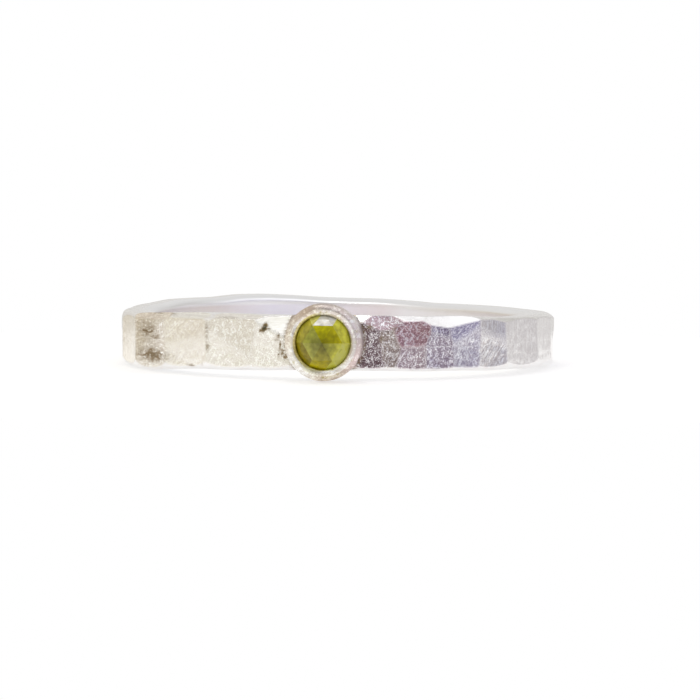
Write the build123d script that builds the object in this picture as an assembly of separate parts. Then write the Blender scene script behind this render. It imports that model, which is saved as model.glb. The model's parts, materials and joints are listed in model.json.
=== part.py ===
from build123d import *
from itertools import combinations
from math import cos, radians, sin, tan
import os
import random

os.makedirs("parts", exist_ok=True)

# A hammered silver stacking ring with a small round rose-cut stone. All sizes in mm.
# It is drawn about the finger's axis, Z, with the stone towards -Y, and is then laid
# on its side as it rests. Azimuths are in degrees round that axis from the stone, and
# grow towards +X, which is the right hand of someone who faces the stone.

# Band
bore_radius = 8.65                  # a US size 7
wall_thickness = 1.5
outer_radius = bore_radius + wall_thickness
outer_edge_round = 0.48             # softened outer corners
inner_edge_width = 0.75             # corners at the finger, worn wide and low
inner_edge_drop = 0.30
sectors = 40                        # flats round the two faces of the band
bore_cut = 6.0                      # long enough to clear both faces

# The forged blank is a little uneven: its width, and the rise of its middle line
forged_blank = [                    # (azimuth, width, rise)
    (0, 2.34, 0.13),
    (30, 2.40, 0.09),
    (60, 2.35, 0.00),
    (90, 2.45, -0.10),
    (120, 2.44, -0.08),
    (150, 2.42, -0.06),
    (180, 2.48, 0.07),
    (210, 2.54, 0.20),
    (240, 2.48, 0.05),
    (270, 2.53, -0.17),
    (300, 2.54, -0.19),
    (330, 2.51, 0.06),
]
edge_ripple = 0.03                  # what the hammer adds to either face

# Hammer blows: each leaves one flat on the outside. The flats beside the stone, and
# those that face the same way as it, were placed one by one; the rest follow a rhythm.
# Level is the height of the blow above the band's middle line, in half millimetres.
placed_blows = [                    # (azimuth, level, turn, lean, depth)
    (-85, 0.2, 1.0, 1.0, 0.03),
    (-68, 0.1, 1.0, 0.5, 0.05),
    (-55, 0.8, 0.0, 1.5, 0.09),
    (-53, -0.9, 0.5, 0.0, 0.09),
    (-55, 2.1, 0.0, 50.0, 0.16),
    (-39, 0.6, 0.5, 0.6, 0.08),
    (-38, -0.9, -0.5, -0.5, 0.08),
    (-39, 2.1, 0.0, 50.0, 0.14),
    (-23, 0.4, 0.5, 1.0, 0.08),
    (-24, -1.0, 0.0, -0.5, 0.07),
    (-22, 2.1, 0.0, 50.0, 0.14),
    (-13, -0.7, -1.0, -0.5, 0.07),
    (-11, 1.05, 3.0, 12.0, 0.09),
    (7, 1.9, 0.0, 46.0, 0.17),
    (10, 0.2, 1.0, 4.0, 0.06),
    (11, -1.4, 0.0, 3.0, 0.08),
    (15, 1.1, 1.0, 30.0, 0.06),
    (16, -0.6, 1.0, 3.0, 0.09),
    (21, 1.9, 0.0, 46.0, 0.17),
    (22, 0.6, 0.0, 4.5, 0.155),
    (22, -1.1, 0.5, 1.5, 0.11),
    (28.5, 0.2, 1.0, 3.0, 0.095),
    (29, -1.1, -0.5, 2.0, 0.11),
    (32, 1.3, 0.0, 38.0, 0.06),
    (36, 0.7, 0.0, 4.5, 0.11),
    (37, -0.8, 0.5, 2.0, 0.105),
    (45, 1.0, 1.0, 3.0, 0.09),
    (45, -0.6, -0.5, 1.0, 0.09),
    (57, 0.6, 0.0, 4.2, 0.09),
    (58, -1.0, 0.0, 3.6, 0.09),
    (53, 2.1, 0.0, 50.0, 0.16),
    (72, 0.1, 0.0, 3.2, 0.06),
    (84, 0.0, 0.0, 2.2, 0.06),
]
blow_rhythm = 11.0                  # azimuth from one blow to the next, elsewhere
blow_from = 94.0
blow_to = 266.0
turn_spread = 2.0
lean_spread = 2.0
row_lean = 3.0                      # the two rows of blows lean away from each other
depth_range = (0.03, 0.10)
blank_allowance = 0.06              # the blank's radius before the blows

# Bezel: a cup soldered to the outside, its rim rubbed down over the stone
bezel_radius = 1.65
bezel_rise = 0.20                   # its axis above the ring's middle plane
bezel_back = outer_radius - 0.15    # distances from the finger's axis
bezel_floor = bezel_back + 0.45
bezel_shoulder = outer_radius + 0.55
bezel_crest = outer_radius + 0.87
crest_radius = 1.38
bezel_brow = outer_radius + 0.85    # where the rim turns down to the stone
brow_radius = 1.25
lip_radius = 1.168                  # the opening through which the stone shows
seat_gap = 0.03                     # between the stone and its setting
lip_lift = 0.16                     # the lip's edge above the stone's girdle
lip_bevel = 0.04

# Stone: a 24-facet rose cut with a flat back
stone_radius = 1.25
stone_back = bezel_floor + seat_gap
girdle_height = 0.28
star_radius = 0.85                  # corners of the six facets that meet in the point
star_height = 0.84                  # above the flat back
point_height = 1.12
facet_sides = 6

ripple_dice = random.Random(11)
blow_dice = random.Random(7)


def around(azimuth, radius, height):
    """A point at an azimuth from the stone, a radius and a height."""
    angle = radians(azimuth)
    return Vector(radius * sin(angle), -radius * cos(angle), height)


def forged(azimuth):
    """Width and rise of the blank at an azimuth, eased between the table's rows."""
    step = 360 / len(forged_blank)
    row = int(azimuth // step) % len(forged_blank)
    share = (azimuth % step) / step
    eased = share * share * (3 - 2 * share)
    _, width, rise = forged_blank[row]
    _, next_width, next_rise = forged_blank[(row + 1) % len(forged_blank)]
    return width + (next_width - width) * eased, rise + (next_rise - rise) * eased


def faces_of_band():
    """Heights of the upper and the lower face of the band, one pair for each sector."""
    upper, lower = [], []
    for sector in range(sectors):
        width, rise = forged(360 * sector / sectors)
        upper.append(rise + width / 2 + ripple_dice.uniform(-edge_ripple, edge_ripple))
        lower.append(rise - width / 2 + ripple_dice.uniform(-edge_ripple, edge_ripple))
    return upper, lower


def edge_rings():
    """Radius and drop below the face for each ring of corners, from the finger out."""
    rings = [(bore_radius - 0.06, 2 * inner_edge_drop)]
    for angle in (20, 45, 68, 90):
        out = inner_edge_width * (1 - cos(radians(angle)))
        drop = inner_edge_drop * (1 - sin(radians(angle)))
        rings.append((bore_radius + out, drop))
    for angle in (0, 30, 60):
        out = outer_edge_round * sin(radians(angle))
        drop = outer_edge_round * (1 - cos(radians(angle)))
        rings.append((outer_radius - outer_edge_round + out, drop))
    rings.append((outer_radius + blank_allowance, 1.4 * outer_edge_round))
    return rings


def triangle(*corners):
    return Face(Wire.make_polygon(corners))


def strip(ring, next_ring):
    """Triangles between two rings of corners."""
    faces = []
    for here in range(len(ring)):
        beyond = (here + 1) % len(ring)
        faces.append(triangle(ring[here], next_ring[here], next_ring[beyond]))
        faces.append(triangle(ring[here], next_ring[beyond], ring[beyond]))
    return faces


def fan(point, ring):
    """Triangles from one point to a ring of corners."""
    return [triangle(point, ring[here], ring[here - 1]) for here in range(len(ring))]


def forge_blank(upper, lower):
    """The uneven disc that the band is cut from, dished towards the finger's axis."""
    azimuths = [360 * sector / sectors for sector in range(sectors)]
    sides = []
    for heights, sign in ((upper, 1), (lower, -1)):
        sides.append([
            [around(azimuth, radius, height - sign * drop)
             for azimuth, height in zip(azimuths, heights)]
            for radius, drop in edge_rings()
        ])
    top, bottom = sides
    faces = strip(top[-1], bottom[-1])
    for side, dish in ((top, 0.3), (bottom, -0.3)):
        faces += fan(Vector(0, 0, dish), side[0])
        for ring, next_ring in zip(side, side[1:]):
            faces += strip(ring, next_ring)
    return Solid(Shell(faces))


def blows():
    """Azimuth, level, turn, lean and depth of every hammer blow."""
    listed = list(placed_blows)
    azimuth = blow_from
    while azimuth <= blow_to:
        for row in (1, -1):
            listed.append((
                azimuth + blow_dice.uniform(-0.3, 0.3) * blow_rhythm + row * blow_rhythm / 4,
                row * blow_dice.uniform(0.3, 0.7),
                blow_dice.uniform(-turn_spread, turn_spread),
                row * row_lean + blow_dice.uniform(-lean_spread, lean_spread),
                blow_dice.uniform(*depth_range),
            ))
        azimuth += blow_rhythm
    return listed


def hammered_barrel():
    """A block flattened by every blow, with a facet for each."""
    block = Box(4 * outer_radius, 4 * outer_radius, 4 * outer_radius).solid()
    for azimuth, level, turn, lean, depth in blows():
        _, rise = forged(azimuth)
        struck = around(azimuth, outer_radius - depth, rise + 0.5 * level)
        facing = around(azimuth + turn, 1, tan(radians(lean)))
        block = block.split(Plane(origin=struck, z_dir=facing), keep=Keep.BOTTOM)
    return block


def make_bezel():
    """The cup and its rubbed-over rim, turned about its own axis."""
    cup_radius = stone_radius + seat_gap
    lip_height = stone_back + girdle_height + lip_lift
    with BuildPart() as cup:
        with BuildSketch(Plane.XY):
            with BuildLine():
                Polyline(
                    (0, bezel_floor), (0, bezel_back), (bezel_radius, bezel_back),
                    (bezel_radius, bezel_shoulder),
                )
                TangentArc(
                    (bezel_radius, bezel_shoulder), (crest_radius, bezel_crest), tangent=(0, 1)
                )
                Polyline(
                    (crest_radius, bezel_crest), (brow_radius, bezel_brow),
                    (lip_radius, lip_height + lip_bevel), (lip_radius, lip_height),
                    (cup_radius, lip_height - lip_lift / 2),
                    (cup_radius, bezel_floor), (0, bezel_floor),
                )
            make_face()
        revolve(axis=Axis.Y)
    return Pos(0, 0, bezel_rise) * Rot(180, 0, 0) * cup.part


def make_band(upper, lower):
    """Band and bezel: soldered, so one solid."""
    bore = Cylinder(bore_radius, bore_cut)
    band = forge_blank(upper, lower) & hammered_barrel()
    return (band - bore + make_bezel()).solid()


def make_stone():
    """Six facets meet in the point, with eighteen below them down to the girdle."""
    def corner(angle, radius, height):
        out = Vector(radius * cos(radians(angle)), 0, radius * sin(radians(angle)))
        return out + Vector(0, -(stone_back + height), bezel_rise)

    step = 360 / facet_sides
    point = corner(0, 0, point_height)
    star = [corner(step * side, star_radius, star_height) for side in range(facet_sides)]
    rim = range(2 * facet_sides)
    girdle = [corner(step / 2 * side, stone_radius, girdle_height) for side in rim]
    back = [corner(step / 2 * side, stone_radius, 0) for side in rim]
    faces = fan(point, star) + strip(girdle, back) + [triangle(*back)]
    for side in range(facet_sides):
        here = star[side]
        before, level, after = (girdle[(2 * side + k) % len(girdle)] for k in (-1, 0, 1))
        faces.append(triangle(here, before, level))
        faces.append(triangle(here, level, after))
        faces.append(triangle(here, after, star[(side + 1) % facet_sides]))
    return Solid(Shell(faces))


def inside(point, corners):
    """Whether a point lies in a triangle, seen from above."""
    turns = []
    for here, there in zip(corners, corners[1:] + corners[:1]):
        along, across = there - here, point - here
        turns.append(along.X * across.Y - along.Y * across.X > 0)
    return all(turns) or not any(turns)


def resting_plane(lower, weight):
    """The plane of the three low points that the ring comes to rest on."""
    low_points = [
        around(360 * sector / sectors, outer_radius - outer_edge_round, height)
        for sector, height in enumerate(lower)
    ]
    for distance in (bezel_back, bezel_shoulder):
        low_points.append(Vector(0, -distance, bezel_rise - bezel_radius))
    for corners in combinations(low_points, 3):
        first, second, third = corners
        up = (second - first).cross(third - first).normalized()
        up = up if up.Z > 0 else -up
        clear = all((point - first).dot(up) > -1e-6 for point in low_points)
        if clear and inside(weight, list(corners)):
            return Plane(origin=first, x_dir=Vector(0, 1, 0).cross(up), z_dir=up)


upper_face, lower_face = faces_of_band()
band = make_band(upper_face, lower_face)
stone = make_stone()

# Laid on its side: onto the three points, then centred over the origin
table = resting_plane(lower_face, band.center())
laid = table.location.inverse()
box = Compound([band.moved(laid), stone.moved(laid)]).bounding_box()
laid = Pos(-box.center().X, -box.center().Y, -box.min.Z) * laid

export_step(band.moved(laid), "parts/hammered_band_with_bezel.step")
export_step(stone.moved(laid), "parts/rose_cut_stone.step")

finger_axis = Plane(laid * Plane.XY.location)
print("finger axis through", finger_axis.origin, "along", finger_axis.z_dir)
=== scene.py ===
import json
import random
from math import atan2, cos, degrees, exp, pi, radians, sin, sqrt, tan

import bmesh
import bpy
import numpy as np
from mathutils import Matrix, Vector


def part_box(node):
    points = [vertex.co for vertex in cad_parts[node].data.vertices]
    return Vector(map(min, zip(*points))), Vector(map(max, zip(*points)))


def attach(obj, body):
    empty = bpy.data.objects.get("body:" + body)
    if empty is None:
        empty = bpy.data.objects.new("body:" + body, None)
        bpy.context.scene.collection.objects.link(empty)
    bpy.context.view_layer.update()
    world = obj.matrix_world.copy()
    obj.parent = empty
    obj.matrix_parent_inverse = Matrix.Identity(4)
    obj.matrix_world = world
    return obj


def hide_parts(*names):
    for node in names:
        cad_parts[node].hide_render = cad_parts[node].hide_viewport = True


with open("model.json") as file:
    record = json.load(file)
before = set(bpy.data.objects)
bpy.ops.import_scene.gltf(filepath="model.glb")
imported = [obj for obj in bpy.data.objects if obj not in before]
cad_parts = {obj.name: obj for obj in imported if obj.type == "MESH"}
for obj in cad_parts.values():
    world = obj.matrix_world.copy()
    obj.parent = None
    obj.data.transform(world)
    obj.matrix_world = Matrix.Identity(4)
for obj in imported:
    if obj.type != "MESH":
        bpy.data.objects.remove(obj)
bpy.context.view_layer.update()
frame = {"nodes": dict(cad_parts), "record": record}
scene = bpy.context.scene
print("stage: frame loaded")

# The pieces are drawn in millimetres about the finger's axis, the stone towards -Y,
# and ringPlace then lays them where the ring rests. The mount of the bore says where.
millimetre = 0.001
bore = next(m for m in frame["record"]["mounts"] if m["name"] == "finger_bore")
boreRadius = bore["dims"]["r_mm"]
white = (1.0, 1.0, 1.0, 1)


def placeOfRing():
    up = Vector(bore["axis"]).normalized()
    back = up.cross(Vector((1, 0, 0))).normalized()
    right = back.cross(up)
    turned = Matrix((right, back, up)).transposed().to_4x4()
    return Matrix.Translation(bore["pos_m"]) @ turned @ Matrix.Scale(millimetre, 4)


ringPlace = placeOfRing()
stoneLow, stoneHigh = (ringPlace.inverted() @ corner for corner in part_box("rose_cut_stone"))
stoneRise = (stoneLow.z + stoneHigh.z) / 2


def newMesh(name, points, faces):
    mesh = bpy.data.meshes.new(name)
    mesh.from_pydata([tuple(p) for p in points], [], faces)
    mesh.update()
    return mesh


def gridFaces(columns, rows, closed):
    # four-sided faces between columns of points, where a closed section also joins its ends
    faces = []
    for column in range(columns):
        here, beyond = column * rows, (column + 1) % columns * rows
        for row in range(rows if closed else rows - 1):
            above = (row + 1) % rows
            faces.append((here + row, beyond + row, beyond + above, here + above))
    return faces


def showPiece(name, mesh):
    piece = bpy.data.objects.new(name, mesh)
    scene.collection.objects.link(piece)
    return piece


def faceOutwards(mesh):
    shell = bmesh.new()
    shell.from_mesh(mesh)
    bmesh.ops.recalc_face_normals(shell, faces=shell.faces)
    shell.to_mesh(mesh)
    shell.free()


def pointsOf(mesh):
    points = np.empty(len(mesh.vertices) * 3, np.float32)
    mesh.vertices.foreach_get("co", points)
    return points.reshape(-1, 3)


def storeVectors(mesh, name, values, domain="POINT"):
    layer = mesh.attributes.new(name, "FLOAT_VECTOR", domain)
    layer.data.foreach_set("vector", np.array(values, np.float32).ravel())


def storeValues(mesh, name, values):
    layer = mesh.attributes.new(name, "FLOAT", "POINT")
    layer.data.foreach_set("value", np.array(values, np.float32))


# Short ways to put nodes into a tree: a value may be a number or another node's output
def put(tree, kind, inputs=None, **settings):
    node = tree.nodes.new(kind)
    for name, value in settings.items():
        setattr(node, name, value)
    for name, value in (inputs or {}).items():
        feed(tree, node.inputs[name], value)
    return node


def feed(tree, socket, value):
    if isinstance(value, bpy.types.NodeSocket):
        tree.links.new(value, socket)
    elif value is not None:
        socket.default_value = value


def maths(tree, operation, first, second=None, third=None, clamp=False):
    node = put(tree, "ShaderNodeMath", operation=operation, use_clamp=clamp)
    for socket, value in zip(node.inputs, (first, second, third)):
        feed(tree, socket, value)
    return node.outputs[0]


def vectors(tree, operation, first, second=None, scale=None):
    node = put(tree, "ShaderNodeVectorMath", operation=operation)
    feed(tree, node.inputs[0], first)
    feed(tree, node.inputs[1], second)
    if scale is not None:
        feed(tree, node.inputs["Scale"], scale)
    return node.outputs["Value"] if operation in ("DOT_PRODUCT", "LENGTH") else node.outputs[0]


def split(tree, vector):
    return put(tree, "ShaderNodeSeparateXYZ", {"Vector": vector}).outputs


def remap(tree, value, start, end, low=0.0, high=1.0, smooth=False):
    # start becomes low and end becomes high, and nothing goes past them
    return put(tree, "ShaderNodeMapRange", {
        "Value": value, "From Min": start, "From Max": end, "To Min": low, "To Max": high,
    }, interpolation_type="SMOOTHSTEP" if smooth else "LINEAR").outputs[0]


def noise(tree, vector, scale, detail, roughness=0.5, seed=None):
    # a seed moves the pattern through a fourth dimension
    node = put(tree, "ShaderNodeTexNoise", {
        "Vector": vector, "Scale": scale, "Detail": detail, "Roughness": roughness,
    }, noise_dimensions="3D" if seed is None else "4D")
    if seed is not None:
        feed(tree, node.inputs["W"], seed)
    return node.outputs


def mixColours(tree, share, first, second, blend="MIX", clamp=False):
    return put(tree, "ShaderNodeMix", {"Factor": share, "A": first, "B": second},
               data_type="RGBA", blend_type=blend, clamp_result=clamp).outputs["Result"]


def ramp(tree, value, stops):
    node = put(tree, "ShaderNodeValToRGB", {"Fac": value})
    elements = node.color_ramp.elements
    while len(elements) < len(stops):
        elements.new(0.5)
    for element, (position, colour) in zip(elements, stops):
        element.position = position
        element.color = (*colour, 1)
    return node.outputs["Color"]


def attribute(tree, name, output):
    return put(tree, "ShaderNodeAttribute", attribute_name=name).outputs[output]


def place(tree, group, inputs):
    return put(tree, "ShaderNodeGroup", inputs, node_tree=group).outputs


def groupSockets(tree, inputs, outputs):
    for name, (kind, value) in inputs.items():
        socket = tree.interface.new_socket(name, in_out="INPUT", socket_type="NodeSocket" + kind)
        if value is not None:
            socket.default_value = value
    for name, kind in outputs.items():
        tree.interface.new_socket(name, in_out="OUTPUT", socket_type="NodeSocket" + kind)
    return put(tree, "NodeGroupInput").outputs, put(tree, "NodeGroupOutput").inputs


# The band is forged as a plain hoop, and blows then flatten it
band = {
    "outerRadius": boreRadius + 1.5,
    "blankAllowance": 0.06,         # the blank's radius before the blows
    "outerRound": 0.46,             # softened outer corners
    "innerWidth": 0.75,             # inner corners, worn wide and low
    "innerDrop": 0.30,
    "innerHollow": 0.05,            # the bore is widest half way up
    "sectors": 40,
    "edgeRipple": 0.03,             # what the hammer adds to either face
    "edgeSeed": 11,
    "edgeSoftness": 8,              # columns over which the ripple eases
    "columns": 960,
    "wallRows": 24,
    "roundRows": 13,
    "faceRows": 2,
    "innerRows": 9,
    "levelStep": 0.5,               # a blow's level counts in these
    "edgeOn": 0.05,                 # a blow faces a point no less than this
    "unstruck": (0.2, 0.1, 0.0),    # grain, speckle and brush before the first blow
    "dentsInside": 0.35,            # share of the dents' depth that the bore has
    "dimplesInside": 0.3,
    "skin": 0.6,                    # how deep below the outside the stains reach
    "solderStainAndShade": 0.8,             # dirt and painted shade round the bezel's foot, and how far it spreads
    "solderSpread": 0.13,
    "mostStain": 3.0,
}

# What the hammer does, by the names of the tree's inputs
hammer = {
    "Dish Level": 0.35,             # squared distance from a blow at which its dish is level
    "Ridge Softness": 0.0035,       # how far two flats melt into each other
    "Inside Radius": boreRadius + 0.3,             # up to here the dents are shallow,
    "Outside Radius": band["outerRadius"] - 0.25,  # and from here on they are full
    "Wander Scale": 3.2,
    "Wander": 0.020,                # unevenness of each flat
    "Dent Scale": 1.9,
    "Dent Depth": 0.010,
    "Dimple Scale": 6.0,
    "Dimple Depth": 0.0022,
    "Seed": 4.0,
}

# Width of the blank and rise of its middle line, every 30 degrees from the stone
forgedBlank = [                     # (width, rise)
    (2.34, 0.13), (2.40, 0.09), (2.35, 0.00), (2.45, -0.10), (2.44, -0.08), (2.42, -0.06),
    (2.48, 0.07), (2.54, 0.20), (2.48, 0.05), (2.53, -0.17), (2.54, -0.19), (2.51, 0.06),
]

# Colours of silver under a thin film
films = {
    "bare": (0.95, 0.94, 0.93),
    "worn": (0.90, 0.90, 0.91),
    "cream": (0.945, 0.925, 0.87),
    "straw": (0.94, 0.91, 0.83),
    "honey": (0.92, 0.875, 0.78),
    "tan": (0.90, 0.81, 0.68),
    "blush": (0.98, 0.88, 0.91),
    "rose": (0.95, 0.76, 0.78),
    "plum": (0.90, 0.85, 0.88),
    "dusk": (0.86, 0.76, 0.80),
    "dove": (0.90, 0.90, 0.95),
    "slate": (0.80, 0.80, 0.93),
    "ash": (0.84, 0.82, 0.88),
}

# Blows on the stone's side of the ring. Turn and lean tilt the flat, in degrees, and depth
# is how many millimetres it takes off. Dish is the hollow of the flat per square
# millimetre, grain is how coarse the hammer's face was, speckle is how much dirt its
# marks hold, and brush is the angle of the fine lines left on the flat.
placedBlows = [     # azimuth, level, turn, lean, depth, dish, film, grain, speckle, brush
    (-85, 0.2, 1.0, 1.0, 0.03, 0.02, "straw", 0.2, 0.05, 90),
    (-68, 0.1, 1.0, 0.5, 0.05, 0.02, "honey", 0.3, 0.08, 88),
    (-55, 0.8, 0.0, 1.5, 0.09, 0.03, "straw", 0.5, 0.20, 4),
    (-53, -0.9, 0.5, 0.0, 0.09, 0.03, "straw", 0.6, 0.25, 4),
    (-55, 2.1, 0.0, 50.0, 0.16, 0.03, "tan", 0.5, 0.20, 0),
    (-39, 0.6, 0.5, 0.6, 0.08, 0.03, "cream", 0.5, 0.12, 40),
    (-38, -0.9, -0.5, -0.5, 0.08, 0.03, "cream", 0.4, 0.10, 60),
    (-39, 2.1, 0.0, 50.0, 0.14, 0.03, "cream", 0.3, 0.10, 0),
    (-23, 0.4, 0.5, 1.0, 0.08, 0.03, "cream", 0.9, 0.22, 35),
    (-24, -1.0, 0.0, -0.5, 0.07, 0.03, "cream", 0.6, 0.14, 60),
    (-22, 2.1, 0.0, 50.0, 0.14, 0.03, "cream", 0.3, 0.10, 0),
    (-13, -0.7, -1.0, -0.5, 0.07, 0.03, "cream", 0.8, 0.16, 70),
    (-11, 1.05, 3.0, 12.0, 0.09, 0.03, "bare", 0.1, 0.02, 10),
    (7, 1.9, 0.0, 46.0, 0.17, 0.04, "bare", 0.2, 0.05, 0),
    (10, 0.2, 1.0, 4.0, 0.06, 0.03, "plum", 1.0, 0.88, 35),
    (11, -1.4, 0.0, 3.0, 0.08, 0.03, "plum", 1.6, 0.85, 35),
    (15, 1.1, 1.0, 30.0, 0.06, 0.12, "blush", 1.3, 0.58, 60),
    (16, -0.6, 1.0, 3.0, 0.09, 0.04, "cream", 1.3, 0.62, 10),
    (21, 1.9, 0.0, 46.0, 0.17, 0.04, "bare", 0.2, 0.05, 0),
    (22, 0.6, 0.0, 4.5, 0.155, 0.05, "rose", 0.85, 0.56, 50),
    (22, -1.1, 0.5, 1.5, 0.11, 0.04, "plum", 1.0, 0.52, 20),
    (28.5, 0.2, 1.0, 3.0, 0.095, 0.04, "slate", 1.1, 0.70, 70),
    (29, -1.1, -0.5, 2.0, 0.11, 0.04, "ash", 1.1, 0.56, 45),
    (32, 1.3, 0.0, 38.0, 0.06, 0.05, "bare", 0.3, 0.02, 0),
    (36, 0.7, 0.0, 4.5, 0.11, 0.05, "slate", 1.0, 0.40, 30),
    (37, -0.8, 0.5, 2.0, 0.105, 0.04, "dove", 0.6, 0.40, 50),
    (45, 1.0, 1.0, 3.0, 0.09, 0.05, "bare", 0.1, 0.22, 88),
    (45, -0.6, -0.5, 1.0, 0.09, 0.04, "bare", 0.25, 0.32, 50),
    (57, 0.6, 0.0, 4.2, 0.09, 0.02, "bare", 0.2, 0.10, 88),
    (58, -1.0, 0.0, 3.6, 0.09, 0.02, "bare", 0.2, 0.10, 86),
    (53, 2.1, 0.0, 50.0, 0.16, 0.03, "bare", 0.2, 0.06, 0),
    (72, 0.1, 0.0, 3.2, 0.06, 0.02, "bare", 0.2, 0.08, 88),
    (84, 0.0, 0.0, 2.2, 0.06, 0.02, "bare", 0.2, 0.08, 88),
]

# The other blows go round the back in pairs, an upper and a lower one
blowRhythm = {
    "seed": 7,
    "finishSeed": 3,
    "from": 94.0,
    "to": 266.0,
    "step": 11.0,
    "stray": 0.3,                   # share of a step
    "level": (0.3, 0.7),
    "turn": 2.0,
    "rowLean": 3.0,
    "lean": 2.0,
    "depth": (0.03, 0.10),
    "dish": (0.02, 0.06),
    "film": ("bare", "bare", "cream", "dusk", "ash"),
    "grain": (0.2, 0.8),
    "speckle": (0.05, 0.4),
    "brush": (0, 90),
}

# Dark marks, most of them dirt about as wide as a fingernail's scratch; the broad ones on the left flats
# are a painted reflection of a brown thing
stainsAndReflections = [          # azimuth, height, width and tallness in millimetres, strength
    (-14.7, 0.78, 0.07, 0.12, 2.6),
    (-15.2, 0.66, 0.08, 0.12, 2.6),
    (-16.0, 0.60, 0.05, 0.05, 2.0),
    (-13.7, 0.70, 0.04, 0.05, 1.4),
    (-11.4, 0.38, 0.035, 0.10, 1.8),
    (-11.8, 0.22, 0.09, 0.03, 1.3),
    (-10.9, 0.02, 0.035, 0.20, 1.6),
    (-10.3, -0.30, 0.045, 0.16, 1.9),
    (-11.2, -0.36, 0.03, 0.12, 1.5),
    (-9.6, -0.48, 0.04, 0.12, 1.8),
    (-58.2, 0.62, 0.55, 0.05, 0.4),
    (-56.0, 0.30, 0.60, 0.05, 0.7),
    (-50.5, 0.06, 0.40, 0.06, 0.8),
    (-30.8, 0.55, 0.10, 0.30, 0.6),
    (-30.6, -0.15, 0.10, 0.35, 0.6),
    (-53.0, 1.12, 0.60, 0.06, 0.5),
    (-44.0, 1.14, 0.30, 0.05, 0.4),
    (-25.0, 1.10, 0.50, 0.04, 0.4),
    (-36.0, -1.05, 0.25, 0.04, 0.8),
    (-32.5, -0.98, 0.06, 0.05, 0.7),
    # a broad brown patch on the left flats: painted reflection of a brown thing nearby
    (-54.0, -0.15, 1.00, 1.00, 0.25),
    (-54.0, 0.36, 0.90, 0.30, 0.45),
    (-52.0, -0.74, 1.15, 0.24, 1.20),
    (11.0, 0.85, 0.16, 0.14, 0.8),
    (17.5, 0.72, 0.18, 0.10, 0.7),
    (14.0, 0.30, 0.10, 0.16, 0.8),
]

# How the bore's colour differs round it: azimuth, colour. Beside the film it holds painted reflections,
# lavender-white and brown, of what the bore mirrors
boreFilmsAndReflections = [
    (100, (0.945, 0.925, 0.87)),
    (143, (0.94, 0.92, 0.88)),
    (160, (0.95, 0.94, 0.93)),
    (169, (0.90, 0.83, 0.83)),
    (180, (0.93, 0.88, 0.90)),
    (193, (0.96, 0.95, 1.00)),
    (207, (0.96, 0.95, 1.00)),
    (216, (0.94, 0.91, 0.92)),
    (230, (0.90, 0.85, 0.80)),
    (244, (0.91, 0.88, 0.83)),
    (260, (0.945, 0.925, 0.87)),
]


def around(azimuth, radius, height):
    angle = radians(azimuth)
    return Vector((radius * sin(angle), -radius * cos(angle), height))


def forged(azimuth):
    step = 360 / len(forgedBlank)
    row = int(azimuth // step) % len(forgedBlank)
    share = (azimuth % step) / step
    eased = share * share * (3 - 2 * share)
    width, rise = forgedBlank[row]
    nextWidth, nextRise = forgedBlank[(row + 1) % len(forgedBlank)]
    return width + (nextWidth - width) * eased, rise + (nextRise - rise) * eased


def edgesOfBand(azimuths):
    dice = random.Random(band["edgeSeed"])
    ripple, softness = band["edgeRipple"], band["edgeSoftness"]
    knots = np.arange(band["sectors"]) * 360 / band["sectors"]
    upper, lower = [], []
    for azimuth in knots:
        width, rise = forged(azimuth)
        upper.append(rise + width / 2 + dice.uniform(-ripple, ripple))
        lower.append(rise - width / 2 + dice.uniform(-ripple, ripple))
    softener = np.hanning(2 * softness + 1)
    softener /= softener.sum()
    eased = []
    for heights in (upper, lower):
        line = np.interp(azimuths, knots, heights, period=360)
        wrapped = np.concatenate([line[-softness:], line, line[:softness]])
        eased.append(np.convolve(wrapped, softener, "valid"))
    return eased


def sectionOfBand():
    # radius, share of the way from the lower to the upper face, and shift in height
    outer, wide, inner = band["outerRound"], band["innerWidth"], band["innerDrop"]
    blank = band["outerRadius"] + band["blankAllowance"]
    rows = []
    for k in range(band["wallRows"]):
        share = k / band["wallRows"]
        rows.append((blank, share, outer * (1 - 2 * share)))
    for k in range(band["roundRows"]):
        angle = k / band["roundRows"] * pi / 2
        rows.append((blank - outer + outer * cos(angle), 1, -outer + outer * sin(angle)))
    for k in range(band["faceRows"]):
        share = k / band["faceRows"]
        start, end = blank - outer, boreRadius + wide
        rows.append((start + (end - start) * share, 1, 0))
    for k in range(band["innerRows"]):
        angle = k / band["innerRows"] * pi / 2
        rows.append((boreRadius + wide - wide * sin(angle), 1, -inner + inner * cos(angle)))
    upperHalf = rows[band["wallRows"] + 1:]
    mirrored = [(radius, 1 - share, -shift) for radius, share, shift in reversed(upperHalf)]
    for k in range(band["innerRows"] + 1):
        share = 1 - k / band["innerRows"]
        hollow = 4 * share * (1 - share) * band["innerHollow"]
        rows.append((boreRadius + hollow, share, inner * (1 - 2 * share)))
    return rows + mirrored


def forgeBlank():
    columns = band["columns"]
    azimuths = np.arange(columns) * 360 / columns
    upper, lower = edgesOfBand(azimuths)
    section = sectionOfBand()
    points = []
    for azimuth, high, low in zip(azimuths, upper, lower):
        for radius, share, shift in section:
            points.append(around(azimuth, radius, low + (high - low) * share + shift))
    mesh = newMesh("blank", points, gridFaces(columns, len(section), closed=True))
    faceOutwards(mesh)
    return mesh


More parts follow.
